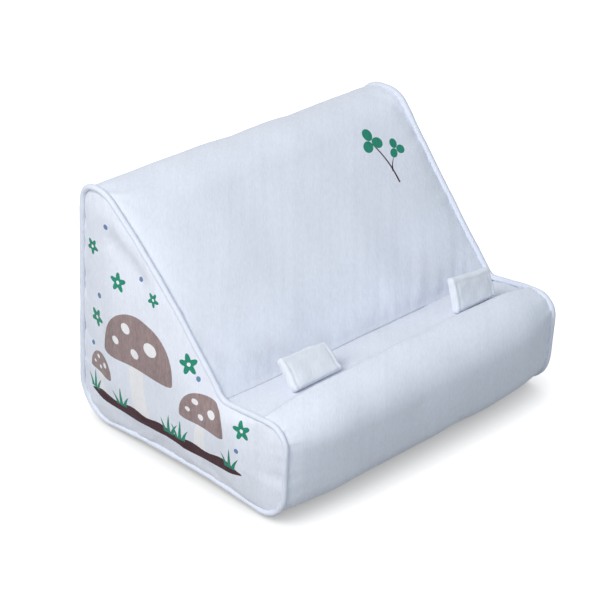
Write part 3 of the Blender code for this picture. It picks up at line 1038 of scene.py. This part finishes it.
def tab_shape(half, skew, shift):
    """Closed pad over a box of half sizes: round edges, bulged faces, a stitched channel, a narrower top."""
    share, faces = cube_grid(TAB_STEPS)
    place = share * half
    core = np.clip(place, -(half - TAB_ROUND), half - TAB_ROUND)
    away = place - core
    place = core + TAB_ROUND * away / np.linalg.norm(away, axis=1)[:, None]
    crown = (1 - share[:, 0] ** 4) * (1 - share[:, 2] ** 4)
    place[:, 1] += TAB_BULGE * crown * share[:, 1]
    place[:, 1] += lumps(place[:, 0], place[:, 2], TAB_LUMPS, shift) * crown
    rise = (share[:, 2] + 1) / 2
    to_edge = np.minimum(half[0] - np.abs(place[:, 0]), half[2] - place[:, 2])
    place[:, 1] -= TAB_CHANNEL * hump(to_edge - TAB_CHANNEL_AT, TAB_CHANNEL_WIDTH) * share[:, 1]
    place[:, 2] -= skew * share[:, 0] * rise
    place[:, 0] *= 1 - TAB_TAPER / (2 * half[0]) * rise
    place[:, 0] += waves(place[:, 2], TAB_SWAY, shift)
    place[:, 2] += waves(place[:, 0], TAB_TOP, shift) * rise
    place[:, 2] += half[2]
    return place, faces


def build_tabs(material):
    """Two padded tabs on the roll's crest, leaning back over the ledge to hold a tablet's edge."""
    for number, (node, (left, right, lean, skew)) in enumerate(TABS.items()):
        half = np.array(((right - left) / 2, TAB_THICKNESS / 2, TAB_HEIGHT / 2))
        place, faces = tab_shape(half, skew, 5 * number)
        foot = smooth_section(np.array([(left + right) / 2]), np.array([LIP_AT]))[0]
        turn = Matrix.Rotation(-math.radians(lean), 3, "X")
        points = place @ np.array(turn.transposed())
        points += foot + np.array((0, TAB_BACK, -TAB_SUNK))
        pad = mesh_object(node + "_pad", points, faces, [material])
        weld(pad)
        dress(pad, node)


WELD_DISTANCE = 1e-6


def weld(piece):
    """Joins the points that meet along a piece's edges."""
    shape = bmesh.new()
    shape.from_mesh(piece.data)
    bmesh.ops.remove_doubles(shape, verts=shape.verts, dist=WELD_DISTANCE)
    shape.to_mesh(piece.data)
    shape.free()
    piece.data.shade_smooth()


STUFFING_GAP = 0.0040


def build_stuffing(material):
    """The stuffing: one closed body just inside the cover."""
    filled = bag_vertices + KEPT_SWELL * bag_moved
    body = mesh_object("stuffing", filled, bag_faces, [material])
    turn_outside(body)
    normals = np.empty(filled.size)
    body.data.vertices.foreach_get("normal", normals)
    points = filled - STUFFING_GAP * normals.reshape(-1, 3)
    body.data.vertices.foreach_set("co", points.ravel())
    body.data.update()
    dress(body, "filling")


FLOOR_SIZE = 8.0
FLOOR_PAINT = (0.35, 0.35, 0.35, 1.0)
# The floor's own glow in the open and right under the stand, where ambient occlusion dims it into a painted
# contact shadow, and how far that painted shadow reaches
FLOOR_GLOW = 0.96
PAINTED_SHADOW_GLOW = 0.25
PAINTED_SHADOW_REACH = 0.030
AMBIENT = 0.445
AMBIENT_COLOUR = (0.87, 0.935, 1.0, 1.0)
BACKDROP_COLOUR = (1.0, 1.0, 1.0, 1.0)


def seen_directly(nodes):
    """1 for what the camera sees straight, in a mirror or through glass, and 0 for other rays."""
    seen = nodes.add("ShaderNodeLightPath").outputs
    return nodes.math("MAXIMUM", seen["Is Camera Ray"],
                      nodes.math("MAXIMUM", seen["Is Glossy Ray"], seen["Is Transmission Ray"]))


def build_room():
    """Pale floor that shows white to the camera, in a dimmer room: its paint keeps the lamps' real soft
    shadow of the stand, and its glow is dimmed near the stand into a painted contact shadow.
    """
    bpy.ops.mesh.primitive_plane_add(size=FLOOR_SIZE, location=(0, 0, 0))
    floor = bpy.context.active_object
    floor.name = "floor"
    material = bpy.data.materials.new("floor")
    nodes = Nodes(material)
    shown = seen_directly(nodes)
    paint = nodes.add("ShaderNodeBsdfDiffuse", {"Color": FLOOR_PAINT}).outputs[0]
    # Painted shadow: ambient occlusion dims the glow the camera sees near the stand, while the diffuse paint
    # keeps the lamps' real shadow
    open_to_room = nodes.add("ShaderNodeAmbientOcclusion", {"Distance": PAINTED_SHADOW_REACH}).outputs["AO"]
    level = nodes.math("ADD", nodes.math("MULTIPLY", open_to_room, FLOOR_GLOW - PAINTED_SHADOW_GLOW), PAINTED_SHADOW_GLOW)
    glow = nodes.add("ShaderNodeEmission", {"Strength": nodes.math("MULTIPLY", shown, level)}).outputs[0]
    both = nodes.add("ShaderNodeAddShader", {0: paint, 1: glow}).outputs[0]
    nodes.add("ShaderNodeOutputMaterial", {"Surface": both})
    floor.data.materials.append(material)
    world = bpy.data.worlds.new("room")
    bpy.context.scene.world = world
    nodes = Nodes(world)
    shown = seen_directly(nodes)
    ambient = nodes.add("ShaderNodeBackground", {"Color": AMBIENT_COLOUR, "Strength": AMBIENT}).outputs[0]
    backdrop = nodes.add("ShaderNodeBackground", {"Color": BACKDROP_COLOUR, "Strength": 1.0}).outputs[0]
    mixed = nodes.add("ShaderNodeMixShader", {0: shown, 1: ambient, 2: backdrop}).outputs[0]
    nodes.add("ShaderNodeOutputWorld", {"Surface": mixed})


# Lamps as (name, place, power, colour)
LAMPS = (("key", (-1.25, -0.10, 1.35), 20.8, (1.0, 0.985, 0.965)),
         ("front", (0.0, -1.70, 0.35), 5.4, (0.83, 0.915, 1.0)),
         ("low", (-1.50, -0.90, 0.50), 3.6, (1.0, 0.99, 0.98)),
         ("back", (1.35, 1.15, 0.95), 5.5, (0.96, 0.98, 1.0)))
LAMP_SIZE = 1.0
LAMP_AIM = Vector((0, 0, 0.09))


def build_lights():
    """Four soft lamps that look at the stand."""
    for name, place, power, colour in LAMPS:
        light = bpy.data.lights.new(name, "AREA")
        light.size = LAMP_SIZE
        light.energy = power
        light.color = colour
        lamp = bpy.data.objects.new(name, light)
        lamp.location = place
        lamp.rotation_euler = (LAMP_AIM - Vector(place)).to_track_quat("-Z", "Y").to_euler()
        bpy.context.scene.collection.objects.link(lamp)


def build_camera():
    """The photograph's camera: turned to its azimuth and elevation, then rolled."""
    camera = bpy.data.cameras.new("camera")
    camera.sensor_width = SENSOR_MM
    camera.lens = SENSOR_MM * FOCAL_PIXELS / IMAGE_SIZE
    camera.clip_end = 20
    holder = bpy.data.objects.new("camera", camera)
    back = Vector((math.sin(AZIMUTH) * math.cos(ELEVATION), -math.cos(AZIMUTH) * math.cos(ELEVATION),
                   math.sin(ELEVATION)))
    right = Vector((math.cos(AZIMUTH), math.sin(AZIMUTH), 0))
    up = back.cross(right)
    turned_right = right * math.cos(ROLL) + up * math.sin(ROLL)
    turned_up = up * math.cos(ROLL) - right * math.sin(ROLL)
    frame_axes = Matrix((turned_right, turned_up, back)).transposed().to_4x4()
    target = Vector(CAMERA_TARGET) + Vector((0, *SECTION_ZERO))
    holder.matrix_world = Matrix.Translation(target + back * CAMERA_DISTANCE) @ frame_axes
    bpy.context.scene.collection.objects.link(holder)
    bpy.context.scene.camera = holder


colours = panel_colours()
build_wrap(colours)
build_sides(colours)
build_pipings(plain_cloth("piping_cloth", PIPE_WHITE, 0.30))
build_tabs(plain_cloth("tab_cloth", TAB_WHITE, 0.45))
build_stuffing(plain_cloth("stuffing", WHITE, 0.0))
build_room()
build_lights()
build_camera()
bpy.context.scene.view_settings.view_transform = "Standard"
